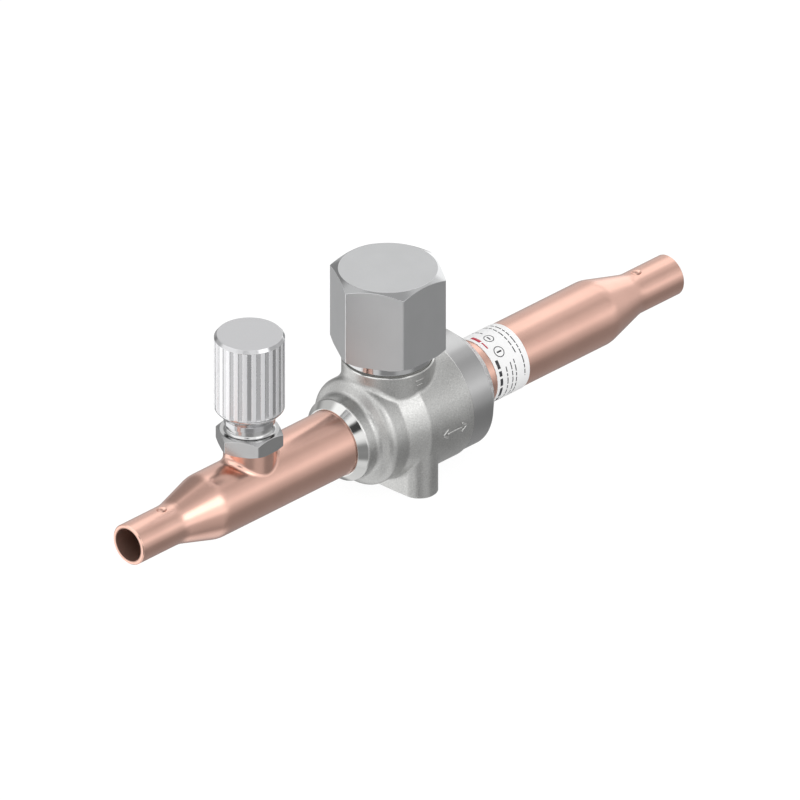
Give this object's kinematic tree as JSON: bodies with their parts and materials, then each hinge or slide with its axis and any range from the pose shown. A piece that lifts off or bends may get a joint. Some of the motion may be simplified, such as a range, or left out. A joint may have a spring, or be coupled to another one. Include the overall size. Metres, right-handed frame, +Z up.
{
  "type": "refrigeration shut-off ball valve",
  "caption": "Shut-off ball valve with swaged copper braze ends, a hexagonal seal cap over its spindle and a side access port with a fluted cap.",
  "frame": {"origin": "on the foot's flat bottom, under the spindle's axis", "axes": "+Z up along the spindle; the tubes run along X, with the access port on the -X side"},
  "size_m": [0.1759, 0.0304, 0.0556],
  "materials": {
    "body": "matte, bead-blasted nickel-plated forging",
    "adapter": "satin turned and plated",
    "cap": "satin plated hexagon with polished skirt",
    "fluted_cap": "polished plated brass",
    "port": "polished plated brass",
    "copper": "satin drawn copper",
    "label": "white gloss film",
    "ball": "polished hard-chromed ball",
    "steel": "turned steel",
    "ptfe": "white PTFE",
    "elastomer": "black elastomer",
    "gasket": "thin grey fibre gasket",
    "core_brass": "bare turned brass"
  },
  "bodies": {
    "housing": {"valve_body": "body", "end_adapter": "adapter", "left_tube": "copper", "right_tube": "copper", "label_band": "label", "seat_left": "ptfe", "seat_right": "ptfe", "seat_ring_left": "elastomer", "seat_ring_right": "elastomer", "access_valve_body": "port", "core_body": "core_brass", "core_spring": "steel", "stop_pin": "steel"},
    "spindle_and_ball": {"ball": "ball", "spindle": "steel", "thrust_washer": "ptfe", "spindle_o_ring_lower": "elastomer", "spindle_o_ring_upper": "elastomer", "stop_plate": "steel", "retaining_ring": "steel"},
    "seal_gasket": {"cap_gasket": "gasket"},
    "seal_cap_body": {"seal_cap": "cap"},
    "port_washer": {"access_cap_washer": "elastomer"},
    "port_cap_body": {"access_cap": "fluted_cap"},
    "core_plunger": {"core_pin": "core_brass", "core_seal": "elastomer"}
  },
  "joints": [
    {"name": "spindle_turn", "type": "hinge", "parent": "housing", "child": "spindle_and_ball", "pos_m": [0, 0, 0.0156], "axis": [0, 0, 1], "range_deg": [-90, 0]},
    {"name": "cap_lift", "type": "slide", "parent": "housing", "child": "seal_gasket", "axis": [0, 0, 1], "range_m": [0, 0.018]},
    {"name": "cap_turn", "type": "hinge", "parent": "seal_gasket", "child": "seal_cap_body", "pos_m": [0, 0, 0.0436], "axis": [0, 0, 1], "range_deg": [0, 4320]},
    {"name": "access_cap_lift", "type": "slide", "parent": "housing", "child": "port_washer", "axis": [0, 0, 1], "range_m": [0, 0.0127]},
    {"name": "access_cap_turn", "type": "hinge", "parent": "port_washer", "child": "port_cap_body", "pos_m": [-0.045, 0, 0.0436], "axis": [0, 0, 1], "range_deg": [0, 3600]},
    {"name": "core_press", "type": "slide", "parent": "housing", "child": "core_plunger", "axis": [0, 0, 1], "range_m": [-0.0012, 0], "stiffness_N_per_m": 800, "springref_m": 0.002, "deforming": ["core_spring"]}
  ],
  "couplings": [
    {"joint": "cap_turn", "follows": "cap_lift", "rad_per_m": 4188.8},
    {"joint": "access_cap_turn", "follows": "access_cap_lift", "rad_per_m": 4947.4}
  ]
}
